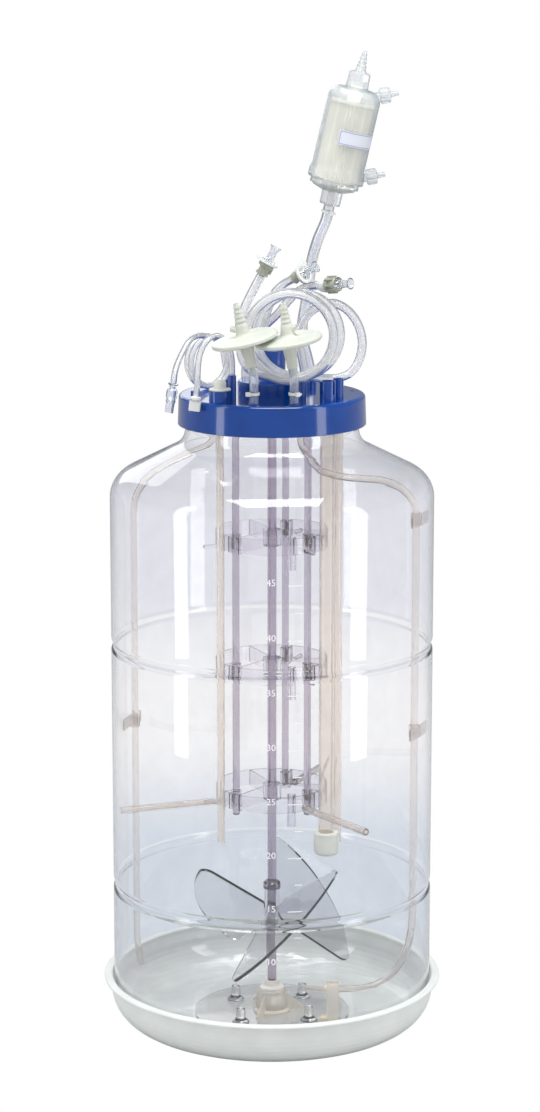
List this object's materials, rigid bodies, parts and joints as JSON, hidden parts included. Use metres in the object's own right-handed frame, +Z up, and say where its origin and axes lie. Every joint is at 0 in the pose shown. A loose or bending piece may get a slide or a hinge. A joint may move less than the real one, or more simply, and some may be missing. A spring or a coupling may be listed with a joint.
{
  "type": "bench bioreactor",
  "caption": "Clear cylindrical bench bioreactor in a white tray, with a blue headplate, pitched-blade impeller, support spiders, vent filters, capsule filter and coiled tubing.",
  "frame": {"origin": "centre of the tray's underside, on the standing surface", "axes": "+Z up along the vessel's axis, -Y towards the front with the volume scale, +X to the right seen from the front"},
  "size_m": [0.3636, 0.3636, 1.0402],
  "materials": {
    "tray_plastic": "formed white sheet, semi-gloss",
    "vessel_plastic": "clear polycarbonate, polished",
    "lid_plastic": "blue moulding, semi-gloss",
    "seal_silicone": "moulded silicone",
    "magnet_housing": "dark moulding",
    "bearing_plastic": "machined natural polymer",
    "frame_plastic": "smoky translucent plastic",
    "impeller_plastic": "clear moulding",
    "foot_clear": "clear moulding",
    "foot_tan": "tan moulding",
    "line_tubing": "translucent beige tubing, satin",
    "sleeve_tubing": "pale tubing, satin",
    "cap_grey": "moulded silicone",
    "clear_tube": "clear tubing",
    "filter_plastic": "cream moulding, semi-gloss",
    "white_plastic": "white moulding",
    "septum_rubber": "cream moulded rubber",
    "capsule_plastic": "translucent polypropylene",
    "cartridge_media": "pleated membrane",
    "valve_plastic": "translucent white moulding",
    "exhaust_tubing": "clear tubing",
    "hose_silicone": "translucent silicone tubing",
    "connector_grey": "olive-grey moulding",
    "connector_clear": "clear moulding"
  },
  "bodies": {
    "frame": {"base_tray": "tray_plastic", "vessel": "vessel_plastic", "headplate": "lid_plastic", "neck_seal": "seal_silicone", "foot_plate": "foot_clear", "foot_bearing": "foot_tan", "foot_bush": "bearing_plastic", "spider_upper": "frame_plastic", "spider_middle": "frame_plastic", "spider_lower": "frame_plastic", "support_rod_front_left": "frame_plastic", "support_rod_front_right": "frame_plastic", "support_rod_rear": "frame_plastic", "stay_arm_left": "line_tubing", "stay_arm_right": "line_tubing", "stay_arm_rear": "line_tubing", "septum_tube": "sleeve_tubing", "probe_sleeve": "sleeve_tubing", "probe_sleeve_cap": "cap_grey", "thermowell": "sleeve_tubing", "sparge_line": "line_tubing", "harvest_line": "line_tubing", "wall_clips": "line_tubing", "sparge_bracket": "line_tubing", "sparge_nozzle": "line_tubing", "vent_filter_left": "filter_plastic", "vent_filter_right": "filter_plastic", "filter_sleeve_left": "clear_tube", "filter_sleeve_right": "clear_tube", "hose_ties": "white_plastic", "capsule_shell": "capsule_plastic", "capsule_cartridge": "cartridge_media", "exhaust_hose": "exhaust_tubing", "main_hose_feed": "hose_silicone", "main_hose_coil": "hose_silicone", "main_hose_tail": "hose_silicone", "left_connector": "connector_grey", "left_connector_funnel": "connector_clear", "middle_hose": "hose_silicone", "middle_connector": "connector_grey", "middle_connector_funnel": "connector_clear", "right_hose": "hose_silicone", "right_connector": "connector_grey", "right_connector_funnel": "connector_clear", "connector_seals": "white_plastic", "thin_hose_start": "hose_silicone", "thin_hose_coil": "hose_silicone", "thin_hose_tail": "hose_silicone", "quick_connector": "connector_clear", "plug_hose": "hose_silicone", "hose_plug": "white_plastic"},
    "agitator": {"agitator_shaft": "frame_plastic", "magnet_cup": "magnet_housing", "pivot_bush": "bearing_plastic", "impeller": "impeller_plastic", "shaft_collar": "frame_plastic"},
    "septum": {"septum_cap": "septum_rubber"},
    "valve_upper": {"capsule_valve_upper": "valve_plastic"},
    "valve_lower": {"capsule_valve_lower": "valve_plastic"}
  },
  "joints": [
    {"name": "agitator_spin", "type": "hinge", "parent": "frame", "child": "agitator", "pos_m": [0, 0, 0.4], "axis": [0, 0, 1], "continuous": true},
    {"name": "septum_lift", "type": "slide", "parent": "frame", "child": "septum", "axis": [0, 0, 1], "range_m": [0, 0.025]},
    {"name": "upper_valve_turn", "type": "hinge", "parent": "frame", "child": "valve_upper", "pos_m": [0.11122, 0.014, 0.99344], "axis": [0.9863, 0, 0.165], "range_deg": [0, 180]},
    {"name": "lower_valve_turn", "type": "hinge", "parent": "frame", "child": "valve_lower", "pos_m": [0.09786, 0.014, 0.91002], "axis": [0.9863, 0, 0.165], "range_deg": [0, 180]}
  ]
}
